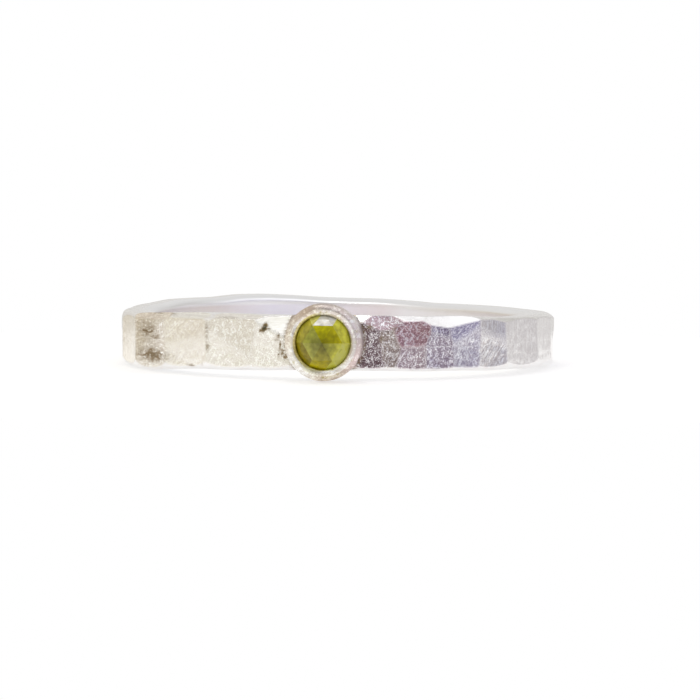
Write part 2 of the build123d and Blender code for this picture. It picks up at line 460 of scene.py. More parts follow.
def allBlows():
    rhythm = blowRhythm
    dice = random.Random(rhythm["seed"])
    finishDice = random.Random(rhythm["finishSeed"])
    step, stray, turn, lean = (rhythm[name] for name in ("step", "stray", "turn", "lean"))
    listed = list(placedBlows)
    azimuth = rhythm["from"]
    while azimuth <= rhythm["to"]:
        for row in (1, -1):
            listed.append((
                azimuth + dice.uniform(-stray, stray) * step + row * step / 4,
                row * dice.uniform(*rhythm["level"]),
                dice.uniform(-turn, turn),
                row * rhythm["rowLean"] + dice.uniform(-lean, lean),
                dice.uniform(*rhythm["depth"]),
                finishDice.uniform(*rhythm["dish"]),
                finishDice.choice(rhythm["film"]),
                finishDice.uniform(*rhythm["grain"]),
                finishDice.uniform(*rhythm["speckle"]),
                finishDice.uniform(*rhythm["brush"]),
            ))
        azimuth += step
    return listed


def blowCloud():
    # one point for each blow, carrying the plane that it presses flat, its film and its wear
    struck, facing, reach, hollow, film, wear = [], [], [], [], [], []
    for azimuth, level, turn, lean, depth, dish, tint, grain, speckle, brush in allBlows():
        _, rise = forged(azimuth % 360)
        point = around(azimuth, band["outerRadius"] - depth, rise + band["levelStep"] * level)
        normal = around(azimuth + turn, 1, tan(radians(lean))).normalized()
        struck.append(point)
        facing.append(normal)
        reach.append(point.dot(normal))
        hollow.append(dish)
        film.append(films[tint])
        wear.append((grain, speckle, radians(brush)))
    mesh = newMesh("blowCloud", struck, [])
    for name, values in (("facing", facing), ("film", film), ("wear", wear)):
        storeVectors(mesh, name, values)
    for name, values in (("reach", reach), ("dish", hollow)):
        storeValues(mesh, name, values)
    return bpy.data.objects.new("blowCloud", mesh)


def named(tree, name, kind="FLOAT"):
    node = put(tree, "GeometryNodeInputNamedAttribute", {"Name": name}, data_type=kind)
    return node.outputs["Attribute"]


def keep(tree, geometry, name, value, kind="FLOAT"):
    node = put(tree, "GeometryNodeStoreNamedAttribute", {
        "Geometry": geometry, "Name": name, "Value": value}, data_type=kind)
    return node.outputs["Geometry"]


def whereOnBand(tree):
    # a point's place, the way out from the axis, its radius and its height
    here = put(tree, "GeometryNodeInputPosition").outputs[0]
    flat = vectors(tree, "MULTIPLY", here, (1, 1, 0))
    outward = vectors(tree, "NORMALIZE", flat)
    return here, outward, vectors(tree, "LENGTH", flat), split(tree, here)["Z"]


def radiusLeft(tree, wants, ofBlow, turn):
    # the radius that a blow leaves: its plane, dished a little and never quite even
    here, outward, _, height = whereOnBand(tree)
    facing = ofBlow("facing", "FLOAT_VECTOR")
    towards = maths(tree, "MAXIMUM", vectors(tree, "DOT_PRODUCT", facing, outward), band["edgeOn"])
    rising = maths(tree, "MULTIPLY", split(tree, facing)["Z"], height)
    left = maths(tree, "SUBTRACT", ofBlow("reach", "FLOAT"), rising)
    away = vectors(tree, "LENGTH", vectors(tree, "SUBTRACT", here, ofBlow("struck", "FLOAT_VECTOR")))
    hollow = maths(tree, "SUBTRACT", maths(tree, "MULTIPLY", away, away), wants["Dish Level"])
    hollow = maths(tree, "MULTIPLY", hollow, ofBlow("dish", "FLOAT"))
    moved = vectors(tree, "ADD", here, vectors(tree, "SCALE", facing, scale=turn))
    uneven = noise(tree, moved, wants["Wander Scale"], 2.0)[0]
    hollow = maths(tree, "MULTIPLY_ADD", maths(tree, "SUBTRACT", uneven, 0.5), wants["Wander"], hollow)
    return maths(tree, "ADD", maths(tree, "DIVIDE", left, towards), hollow)


def pressBlows(tree, wants):
    # each turn of the loop presses one blow into the blank
    here, _, radius, _ = whereOnBand(tree)
    cloud = put(tree, "GeometryNodeObjectInfo", {"Object": wants["Blows"]}).outputs["Geometry"]
    count = put(tree, "GeometryNodeAttributeDomainSize", {"Geometry": cloud}).outputs["Point Count"]
    start = put(tree, "GeometryNodeRepeatInput")
    end = put(tree, "GeometryNodeRepeatOutput")
    start.pair_with_output(end)
    feed(tree, start.inputs["Iterations"], count)
    blank = keep(tree, wants["Blank"], "pressed", 1.0)
    blank = keep(tree, blank, "deepest", 0.0)
    blank = keep(tree, blank, "film", films["bare"], "FLOAT_VECTOR")
    blank = keep(tree, blank, "wear", band["unstruck"], "FLOAT_VECTOR")
    feed(tree, start.inputs["Geometry"], blank)
    turn = start.outputs["Iteration"]

    def ofBlow(name, kind):
        value = named(tree, name, kind) if name != "struck" else here
        node = put(tree, "GeometryNodeSampleIndex", {"Geometry": cloud, "Index": turn}, data_type=kind)
        feed(tree, node.inputs["Value"], value)
        return node.outputs[0]

    # flats meet in a soft ridge, so each blow counts the more, the deeper it bites
    bite = maths(tree, "SUBTRACT", radius, radiusLeft(tree, wants, ofBlow, turn))
    bite = maths(tree, "DIVIDE", bite, wants["Ridge Softness"])
    deepest = maths(tree, "MAXIMUM", named(tree, "deepest"), bite)
    fade = maths(tree, "EXPONENT", maths(tree, "SUBTRACT", named(tree, "deepest"), deepest))
    weight = maths(tree, "EXPONENT", maths(tree, "SUBTRACT", bite, deepest))
    struck = start.outputs["Geometry"]
    for name in ("film", "wear"):
        older = vectors(tree, "SCALE", named(tree, name, "FLOAT_VECTOR"), scale=fade)
        newer = vectors(tree, "SCALE", ofBlow(name, "FLOAT_VECTOR"), scale=weight)
        struck = keep(tree, struck, name, vectors(tree, "ADD", older, newer), "FLOAT_VECTOR")
    pressed = maths(tree, "MULTIPLY_ADD", named(tree, "pressed"), fade, weight)
    struck = keep(tree, struck, "pressed", pressed)
    feed(tree, end.inputs["Geometry"], keep(tree, struck, "deepest", deepest))
    return end.outputs["Geometry"]


def flattenBand(tree, wants, struck):
    # what is left of the radius, and the film and wear of the blow that pressed deepest
    _, outward, radius, _ = whereOnBand(tree)
    share = maths(tree, "DIVIDE", 1.0, named(tree, "pressed"))
    for name in ("film", "wear"):
        even = vectors(tree, "SCALE", named(tree, name, "FLOAT_VECTOR"), scale=share)
        struck = keep(tree, struck, name, even, "FLOAT_VECTOR")
    grown = maths(tree, "LOGARITHM", named(tree, "pressed"), exp(1))
    bites = maths(tree, "ADD", named(tree, "deepest"), grown)
    drop = maths(tree, "MULTIPLY", bites, wants["Ridge Softness"])
    mask = remap(tree, radius, wants["Inside Radius"], wants["Outside Radius"], smooth=True)
    struck = keep(tree, struck, "outside", mask)
    inwards = vectors(tree, "SCALE", outward, scale=maths(tree, "MULTIPLY", drop, -1.0))
    return put(tree, "GeometryNodeSetPosition", {"Geometry": struck, "Offset": inwards}).outputs[0]


def dentBand(tree, wants, flattened):
    # shallow dents and finer dimples all over, as every hand-worked face has
    normal = put(tree, "GeometryNodeInputNormal").outputs[0]
    for mark, inside in (("Dent", band["dentsInside"]), ("Dimple", band["dimplesInside"])):
        uneven = noise(tree, None, wants[mark + " Scale"], 1.0, seed=wants["Seed"])[0]
        much = maths(tree, "MULTIPLY_ADD", named(tree, "outside"), 1 - inside, inside)
        dent = maths(tree, "MULTIPLY", maths(tree, "SUBTRACT", uneven, 0.5), wants[mark + " Depth"])
        offset = vectors(tree, "SCALE", normal, scale=maths(tree, "MULTIPLY", dent, much))
        flattened = put(tree, "GeometryNodeSetPosition", {
            "Geometry": flattened, "Offset": offset}).outputs[0]
    return flattened


def hammerTree():
    tree = bpy.data.node_groups.new("hammerBand", "GeometryNodeTree")
    wants, gives = groupSockets(tree, {
        "Blank": ("Geometry", None),
        "Blows": ("Object", None),
        "Silver": ("Material", None),
        **{name: ("Float", size) for name, size in hammer.items()},
    }, {"Band": "Geometry"})
    done = dentBand(tree, wants, flattenBand(tree, wants, pressBlows(tree, wants)))
    done = put(tree, "GeometryNodeSetShadeSmooth", {"Geometry": done}).outputs[0]
    done = put(tree, "GeometryNodeRealizeInstances", {"Geometry": done}).outputs[0]
    done = put(tree, "GeometryNodeSetMaterial", {
        "Geometry": done, "Material": wants["Silver"]}).outputs[0]
    feed(tree, gives["Band"], done)
    return tree


def throughNodes(name, mesh, tree, values):
    # runs a tree on a mesh and gives back the plain result
    holder = showPiece(name + "Rough", mesh)
    modifier = holder.modifiers.new("nodes", "NODES")
    modifier.node_group = tree
    for item in tree.interface.items_tree:
        if item.in_out == "INPUT" and item.name in values:
            modifier[item.identifier] = values[item.name]
    depsgraph = bpy.context.evaluated_depsgraph_get()
    made = bpy.data.meshes.new_from_object(holder.evaluated_get(depsgraph), depsgraph=depsgraph)
    made.name = name
    holder.modifiers.remove(modifier)
    bpy.data.objects.remove(holder)
    return made


def stainShadeAndReflection(mesh):
    # how dark the metal is: dirt in the listed marks, a painted reflection among them, and dirt with
    # painted shade where the bezel was soldered on
    x, y, z = pointsOf(mesh).T
    dirt = np.zeros(len(x))
    for azimuth, height, width, tallness, strength in stainsAndReflections:
        away = (np.degrees(np.arctan2(x, -y)) - azimuth + 180) % 360 - 180
        along = np.radians(away) * band["outerRadius"]
        dirt += strength * np.exp(-(along / width) ** 2 - ((z - height) / tallness) ** 2)
    # painted shade in the corner where the bezel meets the band, with the solder's dirt
    fromBezel = np.hypot(x, z - stoneRise) - bezel["radius"]
    solder = band["solderStainAndShade"] * np.exp(-(fromBezel / band["solderSpread"]) ** 2)
    dirt += np.where(y < 0, solder, 0)
    outside = np.hypot(x, y) > band["outerRadius"] - band["skin"]
    storeValues(mesh, "stainShadeAndReflection", np.clip(dirt * outside, 0, band["mostStain"]))
    # the bore's film together with its painted reflections
    azimuths, colours = zip(*boreFilmsAndReflections)
    places = np.degrees(np.arctan2(x, -y)) % 360
    tint = [np.interp(places, azimuths, channel) for channel in zip(*colours)]
    storeVectors(mesh, "boreFilmAndReflection", np.column_stack(tint))


def unrollSkin(mesh):
    # lays the band out flat: metres along its length, metres across it
    points = pointsOf(mesh)
    corners = np.empty(len(mesh.loops), np.int32)
    mesh.loops.foreach_get("vertex_index", corners)
    turn = np.arctan2(points[:, 0], -points[:, 1])[corners].reshape(-1, 4)
    turn[(turn.max(axis=1) - turn.min(axis=1) > pi)[:, None] & (turn < 0)] += 2 * pi
    radius = np.hypot(points[:, 0], points[:, 1])[corners]
    height = points[:, 2][corners]
    along = turn.ravel() * band["outerRadius"] * millimetre
    across = (height + (band["outerRadius"] - radius) * np.sign(height)) * millimetre
    skin = mesh.uv_layers.new(name="skin")
    skin.data.foreach_set("uv", np.column_stack((along, across)).ravel())


def makeBand(silver):
    cloud = blowCloud()
    scene.collection.objects.link(cloud)
    mesh = throughNodes("hammeredBand", forgeBlank(), hammerTree(), {
        "Blows": cloud, "Silver": silver, **hammer})
    bpy.data.objects.remove(cloud)
    for name in ("pressed", "deepest"):
        mesh.attributes.remove(mesh.attributes[name])
    unrollSkin(mesh)
    stainShadeAndReflection(mesh)
    mesh.transform(ringPlace)
    piece = showPiece("hammered_band", mesh)
    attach(piece, "root")
    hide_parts("hammered_band_with_bezel")
    return piece


# The bezel is a turned cup. Reaches are distances from the finger's axis.
bezel = {
    "radius": 1.65,
    "back": band["outerRadius"] - 0.15,
    "backRound": 0.05,
    "floor": band["outerRadius"] + 0.30,
    "shoulder": band["outerRadius"] + 0.55,
    "crest": band["outerRadius"] + 0.87,
    "crestRadius": 1.38,
    "brow": band["outerRadius"] + 0.85,      # where the rim turns down to the stone
    "browRadius": 1.25,
    "browRound": 0.05,
    "lipRadius": 1.168,
    "lipLean": 0.008,
    "lipRound": 0.02,
    "lipHeight": band["outerRadius"] + 0.77,
    "lipBevel": 0.04,
    "lipUnder": 0.08,               # how far the lip's under side slopes down
    "cupRadius": 1.28,
    "poleRadius": 0.02,             # of the small faces that close the cup's middle
    "turns": 192,
    "solder": 0.13,                 # how far the solder creeps up the cup
    "solderSink": 0.05,
    "solderEnds": (1.15, 0.15),     # where it stops, up and down the band, and its fade
    "wobble": (0.004, 0.010),       # unevenness sideways, and of the rim's height
    "sidewaysWaves": ((3, 1.0, 0.7), (7, 0.6, 2.1), (12, 0.5, 4.0)),     # count, size, start
    "heightWaves": ((4, 1.0, 1.3), (9, 0.7, 0.0)),
    "nickDirt": 40,                 # dirt per millimetre of a nick's depth
    "rimRadii": (1.20, 1.44),       # where the rim is burnished,
    "rimAbove": 0.10,               # from so far above the shoulder
    "near": 0.01,                   # how close to the cup's wall a point counts as on it
    "wallWithin": 0.02,             # how close to the outer wall the solder still moves one
    # the seat under the stone is paler than bare silver: painted light against the shade under the lip
    "seatFilmAndLight": (1.0, 1.0, 0.85),
}
bezelNicks = [                      # angle from +X, radius, size, depth
    (-64, 1.46, 0.040, 0.018),
    (-70, 1.50, 0.035, 0.022),
    (-77, 1.47, 0.040, 0.024),
    (-83, 1.50, 0.035, 0.024),
    (-89, 1.47, 0.050, 0.020),
    (-69, 1.19, 0.035, 0.022),
    (-108, 1.25, 0.030, 0.014),
    (73, 1.66, 0.035, 0.014),
    (105, 1.64, 0.035, 0.016),
    (95, 1.30, 0.035, 0.020),
    (84, 1.31, 0.035, 0.018),
    (58, 1.34, 0.030, 0.012),
    (20, 1.50, 0.060, 0.012),
    (2, 1.38, 0.040, 0.010),
    (165, 1.45, 0.050, 0.010),
    (215, 1.50, 0.070, 0.012),
    (-30, 1.44, 0.050, 0.012),
]

# The film on the cup, by angle from +X anticlockwise: outside, rim, then lip. Beside the tarnish the
# colours hold painted reflections: the rim's bright and dull crescents, and on the lip the stone's
# yellow-green and a painted glow low down
bezelFilmsAndReflections = [
    (0, (0.86, 0.78, 0.74), (0.77, 0.74, 0.72), (0.70, 0.66, 0.61)),
    (30, (0.98, 0.94, 0.92), (0.98, 0.94, 0.96), (0.70, 0.63, 0.70)),
    (60, (0.78, 0.70, 0.66), (0.94, 0.88, 0.84), (0.81, 0.75, 0.60)),
    (90, (0.67, 0.61, 0.57), (0.98, 0.95, 0.90), (0.73, 0.68, 0.56)),
    (120, (0.70, 0.58, 0.46), (0.80, 0.69, 0.58), (0.74, 0.66, 0.30)),
    (150, (0.84, 0.77, 0.68), (1.00, 0.99, 0.98), (0.72, 0.63, 0.28)),
    (180, (0.90, 0.84, 0.75), (0.95, 0.91, 0.77), (0.82, 0.74, 0.35)),
    (210, (0.97, 0.97, 0.92), (1.00, 1.00, 0.95), (0.86, 0.80, 0.31)),
    (240, (1.00, 0.99, 0.94), (1.00, 1.00, 0.86), (1.00, 0.99, 0.53)),
    (270, (0.77, 0.69, 0.59), (0.86, 0.81, 0.73), (1.00, 1.00, 0.96)),
    (300, (0.70, 0.62, 0.52), (1.00, 0.98, 0.92), (1.00, 1.00, 0.97)),
    (330, (0.90, 0.78, 0.76), (0.98, 0.95, 0.95), (0.74, 0.67, 0.58)),
]


def arcPoints(start, end, steps):
    # a quarter of an ellipse that leaves start straight up and reaches end level
    across, along = end[0] - start[0], end[1] - start[1]
    angles = [k / steps * pi / 2 for k in range(1, steps + 1)]
    return [(start[0] + across * (1 - cos(a)), start[1] + along * sin(a)) for a in angles]


def linePoints(start, end, steps):
    return [(start[0] + (end[0] - start[0]) * k / steps, start[1] + (end[1] - start[1]) * k / steps)
            for k in range(1, steps + 1)]


def softened(corner, before, after, size, steps=4):
    # a corner of the profile, rounded by a small curve
    corner = Vector(corner)
    into, out = Vector(before) - corner, Vector(after) - corner
    first = corner + into.normalized() * min(size, into.length / 2)
    last = corner + out.normalized() * min(size, out.length / 2)
    points = []
    for k in range(steps + 1):
        t = k / steps
        points.append(tuple(first * (1 - t) ** 2 + corner * 2 * t * (1 - t) + last * t ** 2))
    return points


def bezelProfile():
    # from the middle of the back, up the wall, over the rim and down to the floor
    b = bezel
    back, turned, pole = b["back"], b["backRound"], b["poleRadius"]
    wall, crest = (b["radius"], b["shoulder"]), (b["crestRadius"], b["crest"])
    brow, lip = (b["browRadius"], b["brow"]), (b["lipRadius"], b["lipHeight"])
    lipTop = (b["lipRadius"] + b["lipLean"], b["lipHeight"] + b["lipBevel"])
    cup, seat = (b["cupRadius"], b["lipHeight"] - b["lipUnder"]), (b["cupRadius"], b["floor"])
    profile = linePoints((pole, back), (b["radius"] - turned, back), 8)
    profile += [(b["radius"] - 0.3 * turned, back + 0.3 * turned)]
    profile += linePoints((b["radius"], back + turned), wall, 12)
    profile += arcPoints(wall, crest, 14)
    profile += softened(brow, crest, lipTop, b["browRound"])
    profile += softened(lipTop, brow, lip, b["lipRound"], 2)
    profile += [lip]
    profile += linePoints(lip, cup, 3)
    profile += linePoints(cup, seat, 6)
    profile += linePoints(seat, (pole, b["floor"]), 8)
    return profile


def nicked(angle, radius):
    # how deep the nicks in the rim are at one place
    depths = []
    for nickAngle, nickRadius, size, depth in bezelNicks:
        across = nickRadius * cos(radians(nickAngle)) - radius * cos(angle)
        up = nickRadius * sin(radians(nickAngle)) - radius * sin(angle)
        depths.append(depth * exp(-(across * across + up * up) / (size * size)))
    return sum(depths)


def waves(rows, angle):
    return sum(size * sin(count * angle + start) for count, size, start in rows)


def handWorked(angle, radius, reach):
    # small unevenness, the nicks, and the solder that fills the corner on the band
    b = bezel
    rim = max(0.0, min(1.0, (reach - b["shoulder"]) / (b["crest"] - b["shoulder"])))
    if radius > b["lipRadius"] - b["near"]:
        sideways, high = b["wobble"]
        radius += sideways * waves(b["sidewaysWaves"], angle)
        reach += high * rim * waves(b["heightWaves"], angle)
    if reach > b["shoulder"]:
        reach -= nicked(angle, radius)
    x, z = radius * cos(angle), radius * sin(angle)
    if radius > b["radius"] - b["wallWithin"] and reach < b["shoulder"]:
        onBand = sqrt(max(0.0, band["outerRadius"] ** 2 - x * x)) - b["solderSink"]
        low = max(0.0, 1 - max(0.0, reach - onBand) / b["solder"])
        ends, fade = b["solderEnds"]
        over = max(0.0, min(1.0, (ends - abs(z)) / fade))
        grow = 1 + b["solder"] * low * low * over / radius
        x, z = x * grow, z * grow
    return x, -reach, z + stoneRise


def wearOfBezel(angle, radius, reach):
    # how burnished the rim is, whether it is the seat under the stone, and dirt in the nicks
    b = bezel
    near = b["near"]
    rimFrom, rimTo = b["rimRadii"]
    rim = rimFrom < radius < rimTo and reach > b["shoulder"] + b["rimAbove"]
    seat = radius < b["cupRadius"] + near and b["floor"] - near < reach < b["lipHeight"] - near
    dirt = b["nickDirt"] * nicked(angle, radius) if reach > b["shoulder"] else 0.0
    return float(rim), float(seat), min(1.0, dirt)


def zoneOfBezel(radius, rim, seat):
    # 0 outside, 1 on the rim, 2 on the lip and 3 under it
    if seat:
        return 3
    return 2 if radius < bezel["cupRadius"] + bezel["near"] else int(rim)


def filmAndReflectionOfBezel(angle, zone):
    if zone == 3:
        return bezel["seatFilmAndLight"]
    angles = [row[0] for row in bezelFilmsAndReflections]
    film = [row[zone + 1] for row in bezelFilmsAndReflections]
    return [float(np.interp(degrees(angle), angles, channel, period=360)) for channel in zip(*film)]


def makeBezel(silver):
    profile = bezelProfile()
    turns, rows = bezel["turns"], len(profile)
    angles = [2 * pi * k / turns for k in range(turns)]
    points = [handWorked(angle, radius, reach) for angle in angles for radius, reach in profile]
    faces = gridFaces(turns, rows, closed=False)
    faces.append([k * rows for k in range(turns)])
    faces.append([k * rows + rows - 1 for k in range(turns)])
    mesh = newMesh("bezelCup", points, faces)
    faceOutwards(mesh)
    mesh.shade_smooth()
    mesh.materials.append(silver)
    wear = [wearOfBezel(angle, radius, reach) for angle in angles for radius, reach in profile]
    # the zones are the same all the way round, so the first column's are enough
    zones = [zoneOfBezel(radius, rim, seat) for (radius, _), (rim, seat, _) in zip(profile, wear)]
    storeVectors(mesh, "wear", wear)
    # the film carries the tarnish and the painted reflections
    storeVectors(mesh, "film", [filmAndReflectionOfBezel(angle, zone) for angle in angles for zone in zones])
    mesh.transform(ringPlace)
    piece = showPiece("bezel_cup", mesh)
    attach(piece, "root")
    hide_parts("hammered_band_with_bezel")
    return piece


stone = {
    "mergeWithin": 0.002,           # millimetres between points that are one
    "flatWithin": 1.0,              # degrees between faces that are one facet
    "edgeWear": 0.007,
    "steep": 30,                    # degrees from which a facet belongs to the crown's edge
    # the tint is scaled from the point to the rim: painted shade in the middle, painted light at the rim
    "pointShade": 0.36,              # how much of its tint a facet has in the middle,
    "rimLight": 1.38,              # and how much at the rim
    "rim": 0.0011,                  # metres from the middle
    "cloudScale": 4600.0,
    "cloudDepth": 1.6,
    "cloudLow": 0.20,
    "transmission": 0.25,
    "shine": 0.08,
    "roughness": 0.01,
    "ior": 1.66,
    "throughColour": (0.86, 0.83, 0.10, 1),
    "throughDensity": 300.0,
}

# Tint of the facets, by the way each slopes: degrees from the right hand,
# anticlockwise. Those that meet in the point come first, then the steep ones round them.
# The tints hold the stone's light and shade painted in: a painted highlight, glow and shade.
starTintsAndLight = [
    (30, (0.60, 0.55, 0.008)),
    (90, (0.69, 0.65, 0.004)),
    (150, (0.535, 0.545, 0.07)),
    (210, (0.62, 0.61, 0.12)),
    (270, (0.59, 0.54, 0.08)),
    (330, (0.79, 0.77, 0.10)),
]
crownTintsAndLight = [
    (0, (0.93, 0.91, 0.13)),
    (30, (0.71, 0.69, 0.07)),
    (60, (0.94, 0.91, 0.19)),
    # pale: painted highlight on the top facet
    (90, (0.74, 0.72, 0.62)),
    (120, (0.76, 0.72, 0.18)),
    # dark on the left: painted shade of the stone's edge
    (150, (0.46, 0.41, 0.04)),
    (180, (0.40, 0.34, 0.01)),
    (210, (0.33, 0.27, 0.01)),
    (240, (0.64, 0.54, 0.01)),
    (270, (0.60, 0.52, 0.01)),
    # full yellow low on the right: painted glow of light through the stone
    (300, (1.00, 1.00, 0.09)),
    (330, (1.00, 1.00, 0.17)),
]


def tintAndLightOfFacet(face):
    slope = degrees(atan2(face.normal.z, face.normal.x)) % 360
    steep = face.normal.y > -cos(radians(stone["steep"]))
    tintsAndLight = crownTintsAndLight if steep else starTintsAndLight

    def away(row):
        return abs((row[0] - slope + 180) % 360 - 180)

    return min(tintsAndLight, key=away)[1]


def makeStone(glass):
    # the solid's own facets, with their edges a little worn
    mesh = frame["nodes"]["rose_cut_stone"].data.copy()
    mesh.transform(ringPlace.inverted())
    cut = bmesh.new()
    cut.from_mesh(mesh)
    bmesh.ops.remove_doubles(cut, verts=cut.verts, dist=stone["mergeWithin"])
    bmesh.ops.dissolve_limit(cut, verts=cut.verts, edges=cut.edges,
                             angle_limit=radians(stone["flatWithin"]))
    bmesh.ops.bevel(cut, geom=list(cut.edges), offset=stone["edgeWear"], segments=2, profile=0.5,
                    affect="EDGES")
    bmesh.ops.recalc_face_normals(cut, faces=cut.faces)
    tintsAndLight = [tintAndLightOfFacet(face) for face in cut.faces]
    cut.to_mesh(mesh)
    cut.free()
    # the facets' tints, painted light and shade included
    storeVectors(mesh, "tint", tintsAndLight, "FACE")
    mesh.shade_flat()
    mesh.materials.clear()
    mesh.materials.append(glass)
    mesh.transform(ringPlace)
    piece = showPiece("rose_cut_stone_faceted", mesh)
    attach(piece, "root")
    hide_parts("rose_cut_stone")
    return piece


def newMaterial(name):
    material = bpy.data.materials.new(name)
    material.use_nodes = True
    tree = material.node_tree
    tree.nodes.clear()
    shader = put(tree, "ShaderNodeBsdfPrincipled")
    sheet = put(tree, "ShaderNodeOutputMaterial", {"Surface": shader.outputs["BSDF"]})
    return material, tree, shader, sheet


def tarnishGroup():
    # a film that thickens and thins in small clouds
    tree = bpy.data.node_groups.new("silverFilm", "ShaderNodeTree")
    wants, gives = groupSockets(tree, {
        "Vector": ("Vector", None), "Film": ("Color", (0.9, 0.9, 0.9, 1)),
        "Cloud Scale": ("Float", 3000.0), "Cloud Depth": ("Float", 0.5),
    }, {"Color": "Color"})
    film = wants["Film"]
    cloud = noise(tree, wants["Vector"], wants["Cloud Scale"], 4.0, 0.7)[0]
    cloud = maths(tree, "SUBTRACT", cloud, 0.4)
    share = maths(tree, "MULTIPLY", cloud, wants["Cloud Depth"], clamp=True)
    thicker = mixColours(tree, 1.0, film, film, "MULTIPLY")
    feed(tree, gives["Color"], mixColours(tree, share, film, thicker))
    return tree


def scratchGroup():
    # fine lines that all run one way
    tree = bpy.data.node_groups.new("fineLines", "ShaderNodeTree")
    wants, gives = groupSockets(tree, {
        "Vector": ("Vector", None), "Angle": ("Float", 0.0), "Scale": ("Float", 16000.0),
        "Stretch": ("Float", 0.08), "Seed": ("Float", 0.0),
    }, {"Height": "Float"})
    turned = put(tree, "ShaderNodeVectorRotate", {
        "Vector": wants["Vector"], "Angle": wants["Angle"]},
        rotation_type="Z_AXIS", invert=True).outputs[0]
    squeeze = put(tree, "ShaderNodeCombineXYZ", {"X": wants["Stretch"], "Y": 1.0, "Z": 1.0}).outputs[0]
    squeezed = vectors(tree, "MULTIPLY", turned, squeeze)
    feed(tree, gives["Height"], noise(tree, squeezed, wants["Scale"], 2.0, 0.6, wants["Seed"])[0])
    return tree


# What the hammer's marks are made of, in their height and in where dirt lies
marksMade = {
    "creaseSets": ((0.3, 5.0), (1.4, 6.0)),          # angle from the brush, seed
    "lineSets": ((0.0, 1.0, 1.0), (0.9, 2.0, 0.3), (-0.7, 3.0, 0.3)),    # and weight
    "creaseStretch": 0.32,
    "creaseWidth": 0.06,
    "lineScale": 16000.0,
    "lineScaleByGrain": -5000.0,
    "height": {"swell": 1.1, "grain": 0.7, "crease": 0.35},
    "dirt": {"swell": 0.70, "grain": 0.65, "crease": 0.16},
    "dirtLevel": 1.16,              # the surface is dirty below it and clean above
    "lineLevel": 0.8,
    "dirtEdge": 0.09,
}


def grainGroup(scratches):
    # the marks of a hammer's face: winding creases, a fine grain, and lines that cross
    made = marksMade
    tree = bpy.data.node_groups.new("hammerGrain", "ShaderNodeTree")
    wants, gives = groupSockets(tree, {
        "Vector": ("Vector", None), "Coarse": ("Float", 0.5), "Brush": ("Float", 0.5),
        "Brush Angle": ("Float", 0.0), "Crease Scale": ("Float", 10000.0),
        "Grain Scale": ("Float", 19000.0), "Bend": ("Float", 0.00014),
    }, {"Height": "Float", "Dirt": "Float"})

    def strokes(vector, turn, scale, seed, stretch=None):
        return place(tree, scratches, {
            "Vector": vector, "Scale": scale, "Seed": seed, "Stretch": stretch,
            "Angle": maths(tree, "ADD", wants["Brush Angle"], turn)})[0]

    # creases bend as they go, and two sets of them cross
    bend = noise(tree, wants["Vector"], wants["Crease Scale"], 1.0)[1]
    bend = vectors(tree, "SCALE", vectors(tree, "SUBTRACT", bend, (0.5, 0.5, 0.5)), scale=wants["Bend"])
    bent = vectors(tree, "ADD", wants["Vector"], bend)
    swell = [strokes(bent, turn, wants["Crease Scale"], seed, made["creaseStretch"])
             for turn, seed in made["creaseSets"]]
    creases = [maths(tree, "ABSOLUTE", maths(tree, "SUBTRACT", stroke, 0.5)) for stroke in swell]
    crease = remap(tree, maths(tree, "MINIMUM", *creases), 0.0, made["creaseWidth"], smooth=True)
    swollen = maths(tree, "ADD", *swell)
    grain = noise(tree, wants["Vector"], wants["Grain Scale"], 2.0)[0]

    def together(weights):
        both = maths(tree, "MULTIPLY_ADD", grain, weights["grain"],
                     maths(tree, "MULTIPLY", swollen, weights["swell"]))
        return maths(tree, "MULTIPLY_ADD", crease, weights["crease"], both)

    # brush lines run one way, and fainter ones cross them
    crossed = None
    lineScale = maths(tree, "MULTIPLY_ADD", wants["Coarse"], made["lineScaleByGrain"], made["lineScale"])
    for turn, seed, weight in made["lineSets"]:
        height = maths(tree, "MULTIPLY", strokes(wants["Vector"], turn, lineScale, seed), weight)
        crossed = height if crossed is None else maths(tree, "ADD", crossed, height)
    rough = maths(tree, "MULTIPLY", together(made["height"]), wants["Coarse"])
    feed(tree, gives["Height"], maths(tree, "MULTIPLY_ADD", crossed, wants["Brush"], rough))

    # dirt lies in the creases, in the lines and where the surface is low: there it is 0
    high = maths(tree, "SUBTRACT", together(made["dirt"]), made["dirtLevel"])
    lines = maths(tree, "SUBTRACT", crossed, made["lineLevel"])
    lines = maths(tree, "MULTIPLY", lines, wants["Brush"])
    high = maths(tree, "MULTIPLY_ADD", high, wants["Coarse"], lines)
    feed(tree, gives["Dirt"], remap(tree, high, -made["dirtEdge"], made["dirtEdge"], smooth=True))
    return tree


speckle = {
    "thin": 0.55,                   # how white the film is where it is thinnest
    "middle": 0.58,
    "depth": 1.6,
    "redPower": 0.85,               # dirt takes red and blue away more slowly
    "bluePower": 0.98,
}


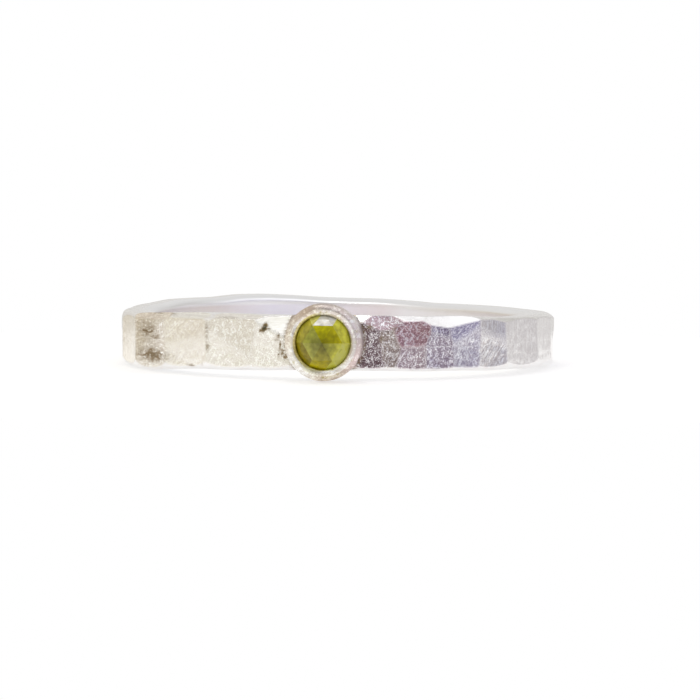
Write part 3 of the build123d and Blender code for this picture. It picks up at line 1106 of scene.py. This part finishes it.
def speckleGroup():
    # the film is thick and dirty in the low spots, thin on the burnished high ones
    tree = bpy.data.node_groups.new("speckledFilm", "ShaderNodeTree")
    wants, gives = groupSockets(tree, {
        "Film": ("Color", (0.9, 0.9, 0.9, 1)), "Dirt": ("Float", 0.5), "Amount": ("Float", 0.3),
    }, {"Color": "Color"})
    film, dirt, amount = wants["Film"], wants["Dirt"], wants["Amount"]
    deep = mixColours(tree, 1.0, film, film, "MULTIPLY")
    thin = mixColours(tree, speckle["thin"], film, white)
    uneven = mixColours(tree, amount, film, mixColours(tree, dirt, deep, thin))
    factor = maths(tree, "MULTIPLY_ADD", maths(tree, "SUBTRACT", dirt, speckle["middle"]),
                   maths(tree, "MULTIPLY", amount, speckle["depth"]), 1.0)
    tint = put(tree, "ShaderNodeCombineColor", {
        "Red": maths(tree, "POWER", factor, speckle["redPower"]), "Green": factor,
        "Blue": maths(tree, "POWER", factor, speckle["bluePower"])}).outputs[0]
    feed(tree, gives["Color"], mixColours(tree, 1.0, uneven, tint, "MULTIPLY", clamp=True))
    return tree


def relief(tree, shader, height, depth):
    bump = put(tree, "ShaderNodeBump", {"Strength": 1.0, "Distance": depth, "Height": height})
    feed(tree, shader.inputs["Normal"], bump.outputs[0])


bandFinish = {
    "relief": 0.0000052,            # metres from the lowest to the highest grain
    "facing": (0.35, 0.75),         # how upright a wall is at most, and a face at least
    # painted shade on the bore, and painted light at its top edge
    "boreShade": (0.89, 0.88, 0.91),
    "boreLight": (0.00228, 0.00240),     # metres up, where the bore turns from shaded to bright
    "leastGrain": 0.08,
    "brush": 0.70,
    "brushByGrain": -0.55,          # a coarse hammer leaves fewer lines
    "leastBrush": 0.08,
    "streaks": {"Scale": 8000.0, "Stretch": 0.22, "Seed": 8.0},
    "streakEdge": (0.60, 0.42),
    "streakDepth": 0.9,
    "sootBase": 0.6,
    "sootByDirt": -0.5,
    "deepStain": (1.0, 3.0),        # how stained it is where the soot turns black
    # brown and black of the soot, which also paint shade and a reflection
    "thinSootAndShade": (0.24, 0.17, 0.09, 1),
    "deepSootAndShade": (0.05, 0.055, 0.035, 1),
    "boreRough": 0.42,
    "boreEdgeRough": 0.12,          # how much smoother the faces are than the bore
    "struckRough": 0.16,
}


def hammeredSilver(tarnish, speckles, grain, scratches):
    finish = bandFinish
    material, tree, shader, _ = newMaterial("hammeredSilver")
    here = put(tree, "ShaderNodeTexCoord").outputs["Object"]
    skin = put(tree, "ShaderNodeUVMap", uv_map="skin").outputs[0]
    outside, stainedAndShaded = attribute(tree, "outside", "Fac"), attribute(tree, "stainShadeAndReflection", "Fac")
    wear = split(tree, attribute(tree, "wear", "Vector"))
    coarse, speckled, angle = wear["X"], wear["Y"], wear["Z"]

    # the bore has its own film with painted reflections, painted shade over it and painted light up at
    # its top edge, and the faces are worn where rings rub
    upright = split(tree, put(tree, "ShaderNodeNewGeometry").outputs["Normal"])["Z"]
    level = remap(tree, maths(tree, "ABSOLUTE", upright), *finish["facing"])
    paintedTopLight = remap(tree, split(tree, here)["Z"], *finish["boreLight"])
    within = vectors(tree, "MULTIPLY", attribute(tree, "boreFilmAndReflection", "Color"), finish["boreShade"])
    within = mixColours(tree, paintedTopLight, within, white)
    within = mixColours(tree, level, within, (*films["worn"], 1))
    film = mixColours(tree, outside, within, attribute(tree, "film", "Color"))
    film = place(tree, tarnish, {"Vector": here, "Film": film})["Color"]

    # grain, lines and the dirt in them
    brush = maths(tree, "MULTIPLY_ADD", coarse, finish["brushByGrain"], finish["brush"])
    marks = place(tree, grain, {
        "Vector": skin,
        "Coarse": maths(tree, "MULTIPLY_ADD", coarse, outside, finish["leastGrain"]),
        "Brush": maths(tree, "MULTIPLY_ADD", outside, brush, finish["leastBrush"]),
        "Brush Angle": angle,
    })
    relief(tree, shader, marks["Height"], finish["relief"])
    colour = place(tree, speckles, {
        "Film": film, "Dirt": marks["Dirt"], "Amount": maths(tree, "MULTIPLY", speckled, outside),
    })["Color"]

    # soot lies in streaks and is blackest in the middle of a mark; the same colours also lay the painted
    # shade by the bezel and the painted brown reflection
    lines = place(tree, scratches, {"Vector": skin, **finish["streaks"]})["Height"]
    streaks = remap(tree, lines, *finish["streakEdge"])
    low = maths(tree, "MULTIPLY_ADD", marks["Dirt"], finish["sootByDirt"], finish["sootBase"])
    low = maths(tree, "MULTIPLY_ADD", streaks, finish["streakDepth"], low)
    deep = remap(tree, stainedAndShaded, *finish["deepStain"])
    sootAndShade = mixColours(tree, deep, finish["thinSootAndShade"], finish["deepSootAndShade"])
    colour = mixColours(tree, maths(tree, "MULTIPLY", stainedAndShaded, low, clamp=True), colour, sootAndShade)
    feed(tree, shader.inputs["Base Color"], colour)

    inBore = maths(tree, "MULTIPLY_ADD", level, -finish["boreEdgeRough"], finish["boreRough"])
    feed(tree, shader.inputs["Roughness"], put(tree, "ShaderNodeMix", {
        "Factor": outside, "A": inBore, "B": finish["struckRough"]}).outputs[0])
    shader.inputs["Metallic"].default_value = 1.0
    return material


cupFinish = {
    "relief": 0.000007,
    "marks": {"Coarse": 0.8, "Brush": 0.2, "Crease Scale": 4200.0},
    "speckle": 0.20,
    # yellow-green: the nicks' dirt together with painted light thrown by the stone
    "dirt": (0.50, 0.44, 0.16, 1),
    "dirtBase": 1.3,
    "rough": 0.46,
    "burnish": 0.18,                # how much smoother the rim and the seat are
}


def bezelSilver(tarnish, speckles, grain):
    finish = cupFinish
    material, tree, shader, _ = newMaterial("bezelSilver")
    here = put(tree, "ShaderNodeTexCoord").outputs["Object"]
    wear = split(tree, attribute(tree, "wear", "Vector"))
    rim, seat, dirt = wear["X"], wear["Y"], wear["Z"]
    # film: tarnish with painted reflections on the rim and lip
    film = place(tree, tarnish, {"Vector": here, "Film": attribute(tree, "film", "Color")})["Color"]
    marks = place(tree, grain, {"Vector": here, **finish["marks"]})
    relief(tree, shader, marks["Height"], finish["relief"])
    colour = place(tree, speckles, {
        "Film": film, "Dirt": marks["Dirt"], "Amount": finish["speckle"]})["Color"]
    # dirt in the nicks, coloured partly as painted light from the stone
    low = maths(tree, "SUBTRACT", finish["dirtBase"], marks["Dirt"])
    dirty = maths(tree, "MULTIPLY", dirt, low, clamp=True)
    feed(tree, shader.inputs["Base Color"], mixColours(tree, dirty, colour, finish["dirt"]))
    rough = maths(tree, "MULTIPLY_ADD", rim, -finish["burnish"], finish["rough"])
    feed(tree, shader.inputs["Roughness"], maths(tree, "MULTIPLY_ADD", seat, -finish["burnish"], rough))
    shader.inputs["Metallic"].default_value = 1.0
    return material


def greenStone():
    # each facet has its own tint with painted light and shade, cloudy, with painted shade towards the
    # point and painted light at the rim
    material, tree, shader, sheet = newMaterial("greenStone")
    here = put(tree, "ShaderNodeTexCoord").outputs["Object"]
    middle = ringPlace @ ((stoneLow + stoneHigh) / 2)
    offset = vectors(tree, "MULTIPLY", vectors(tree, "SUBTRACT", here, tuple(middle)), (1, 0, 1))
    # painted shade towards the point and painted light towards the rim
    depth = remap(tree, vectors(tree, "LENGTH", offset), 0.0, stone["rim"],
                  stone["pointShade"], stone["rimLight"])
    cloud = noise(tree, here, stone["cloudScale"], 4.0)[0]
    cloud = maths(tree, "MULTIPLY_ADD", cloud, stone["cloudDepth"], stone["cloudLow"])
    tint = vectors(tree, "SCALE", attribute(tree, "tint", "Color"),
                   scale=maths(tree, "MULTIPLY", depth, cloud))
    feed(tree, shader.inputs["Base Color"], vectors(tree, "MINIMUM", tint, (1, 1, 1)))
    shader.inputs["Specular IOR Level"].default_value = stone["shine"]
    shader.inputs["Transmission Weight"].default_value = stone["transmission"]
    shader.inputs["Roughness"].default_value = stone["roughness"]
    shader.inputs["IOR"].default_value = stone["ior"]
    absorb = put(tree, "ShaderNodeVolumeAbsorption")
    absorb.inputs["Color"].default_value = stone["throughColour"]
    absorb.inputs["Density"].default_value = stone["throughDensity"]
    feed(tree, sheet.inputs["Volume"], absorb.outputs[0])
    return material


tarnish, speckles, scratches = tarnishGroup(), speckleGroup(), scratchGroup()
grain = grainGroup(scratches)
bandSilver = hammeredSilver(tarnish, speckles, grain, scratches)
cupSilver = bezelSilver(tarnish, speckles, grain)
glass = greenStone()
print("stage: materials")
makeBand(bandSilver)
print("stage: band hammered")
makeBezel(cupSilver)
makeStone(glass)
print("stage: bezel and stone")


studio = {
    "floorRadius": 0.028,
    "floorPoints": 96,
    "floorColour": (0.68, 0.68, 0.68, 1),
    "floorRough": 0.9,
    "floorGlow": 0.47,
    "lampSize": (0.018, 0.014),
    "lampPlace": (-0.0044, -0.0080, 0.075),
    "lampPower": 0.0062,
    "lowToMiddle": (0.22, 0.40),    # how steeply up one row of colours gives way
    "middleToHigh": (0.62, 0.74),
    "clutterScale": 9.0,
    "clutterEdge": (0.35, 0.65),
    "clutter": (0.55, 1.45),        # darkest and lightest of the clutter on the right
    "clutterInFront": (0.1, -0.3),
    "clutterToRight": (0.15, 0.35),
}

# What the ring stands in, by direction from it: azimuth from the front, to the right,
# and colour. It is given low down, then higher, then overhead.
nearTable = [
    (-180, (0.76, 0.75, 0.73)),
    (-130, (0.71, 0.67, 0.60)),
    (-118, (0.68, 0.62, 0.52)),
    (-104, (0.64, 0.57, 0.46)),
    (-90, (0.78, 0.72, 0.62)),
    (-60, (0.80, 0.77, 0.66)),
    (-42, (0.83, 0.82, 0.74)),
    (-24, (0.89, 0.88, 0.78)),
    (5, (0.84, 0.82, 0.75)),
    (13, (0.14, 0.105, 0.12)),
    (22, (0.26, 0.215, 0.23)),
    (32, (0.38, 0.33, 0.34)),
    (40, (0.38, 0.33, 0.36)),
    (55, (0.40, 0.36, 0.46)),
    (68, (0.50, 0.48, 0.61)),
    (84, (0.44, 0.43, 0.48)),
    (110, (0.63, 0.61, 0.62)),
    (141, (0.72, 0.70, 0.70)),
    (180, (0.76, 0.75, 0.73)),
]
aboveTable = [
    (-180, (0.80, 0.79, 0.78)),
    (-100, (0.80, 0.78, 0.72)),
    (-40, (1.05, 1.04, 1.01)),
    (-17, (1.24, 1.24, 1.22)),
    (-9, (0.36, 0.35, 0.32)),
    (24, (0.34, 0.32, 0.34)),
    (38, (0.85, 0.85, 0.97)),
    (66, (0.85, 0.85, 0.97)),
    (90, (0.60, 0.57, 0.56)),
    (140, (0.56, 0.55, 0.52)),
    (180, (0.80, 0.79, 0.78)),
]
overhead = [
    (-180, (0.74, 0.73, 0.72)),
    (-100, (0.80, 0.78, 0.75)),
    (-30, (0.64, 0.61, 0.58)),
    (12, (0.52, 0.49, 0.48)),
    (20, (1.05, 1.05, 1.08)),
    (85, (1.15, 1.15, 1.18)),
    (120, (0.85, 0.85, 0.86)),
    (180, (0.74, 0.73, 0.72)),
]


def lightStudio():
    world = bpy.data.worlds.new("studio")
    scene.world = world
    world.use_nodes = True
    tree = world.node_tree
    tree.nodes.clear()
    way = put(tree, "ShaderNodeTexCoord").outputs["Generated"]
    parts = split(tree, way)
    azimuth = maths(tree, "ARCTAN2", parts["X"], maths(tree, "MULTIPLY", parts["Y"], -1.0))
    turn = maths(tree, "MULTIPLY_ADD", azimuth, 1 / (2 * pi), 0.5)
    low, middle, high = (ramp(tree, turn, [((a + 180) / 360, colour) for a, colour in row])
                         for row in (nearTable, aboveTable, overhead))
    climb = remap(tree, parts["Z"], *studio["lowToMiddle"], smooth=True)
    sides = mixColours(tree, climb, low, middle)

    # the right-hand front is cluttered, so the dark flats mirror something uneven
    clutter = noise(tree, way, studio["clutterScale"], 3.0, 0.6)[0]
    clutter = remap(tree, clutter, *studio["clutterEdge"], *studio["clutter"])
    inFront = remap(tree, parts["Y"], *studio["clutterInFront"])
    toRight = remap(tree, parts["X"], *studio["clutterToRight"])
    cluttered = vectors(tree, "SCALE", sides, scale=clutter)
    sides = mixColours(tree, maths(tree, "MULTIPLY", toRight, inFront), sides, cluttered)
    climb = remap(tree, parts["Z"], *studio["middleToHigh"], smooth=True)
    sky = mixColours(tree, climb, sides, high)
    seen = put(tree, "ShaderNodeLightPath").outputs["Is Camera Ray"]
    sky = mixColours(tree, seen, sky, white)
    back = put(tree, "ShaderNodeBackground", {"Color": sky, "Strength": 1.0})
    put(tree, "ShaderNodeOutputWorld", {"Surface": back.outputs[0]})

    lamp = bpy.data.lights.new("softbox", "AREA")
    lamp.shape = "RECTANGLE"
    lamp.size, lamp.size_y = studio["lampSize"]
    lamp.energy = studio["lampPower"]
    holder = bpy.data.objects.new("softbox", lamp)
    holder.location = studio["lampPlace"]
    scene.collection.objects.link(holder)


def layFloor():
    material, tree, shader, sheet = newMaterial("paleFloor")
    shader.inputs["Base Color"].default_value = studio["floorColour"]
    shader.inputs["Roughness"].default_value = studio["floorRough"]
    shader.inputs["Specular IOR Level"].default_value = 0.0
    path = put(tree, "ShaderNodeLightPath").outputs
    seen = maths(tree, "ADD", maths(tree, "ADD", path["Is Camera Ray"], path["Is Glossy Ray"]),
                 path["Is Transmission Ray"], clamp=True)
    glow = put(tree, "ShaderNodeEmission", {
        "Strength": maths(tree, "MULTIPLY", seen, studio["floorGlow"])})
    both = put(tree, "ShaderNodeAddShader")
    feed(tree, both.inputs[0], shader.outputs[0])
    feed(tree, both.inputs[1], glow.outputs[0])
    feed(tree, sheet.inputs["Surface"], both.outputs[0])
    radius, count = studio["floorRadius"], studio["floorPoints"]
    turns = [2 * pi * k / count for k in range(count)]
    mesh = newMesh("floor", [(radius * cos(turn), radius * sin(turn), 0) for turn in turns],
                   [list(range(count))])
    mesh.materials.append(material)
    showPiece("floor", mesh)


view = {
    "distance": 105.0,              # millimetres from the ring's centre
    "azimuth": 3.4,
    "elevation": 3.17,              # above the ring's own plane
    "roll": 0.75,
    "lens": 114.2,
    "aimRight": 0.300,              # degrees
    "aimDown": 0.431,
    "clip": (0.01, 5),
}


def setCamera():
    azimuth, elevation = radians(view["azimuth"]), radians(view["elevation"])
    back = Vector((sin(azimuth) * cos(elevation), -cos(azimuth) * cos(elevation), sin(elevation)))
    right = Vector((cos(azimuth), sin(azimuth), 0))
    up = back.cross(right)
    turned = Matrix((right, up, back)).transposed().to_4x4()
    turned = turned @ Matrix.Rotation(radians(view["roll"]), 4, "Z") @ (
        Matrix.Rotation(-radians(view["aimRight"]), 4, "Y")
        @ Matrix.Rotation(-radians(view["aimDown"]), 4, "X"))
    stand = ringPlace @ Matrix.Translation(back * view["distance"])
    lens = bpy.data.cameras.new("camera")
    lens.lens = view["lens"]
    lens.clip_start, lens.clip_end = view["clip"]
    camera = bpy.data.objects.new("camera", lens)
    camera.matrix_world = Matrix.Translation(stand.translation) @ (
        ringPlace.to_3x3() * (1 / millimetre)).to_4x4() @ turned
    scene.collection.objects.link(camera)
    scene.camera = camera


lightStudio()
layFloor()
setCamera()
scene.view_settings.view_transform = "Standard"
print("stage: floor, light and camera")
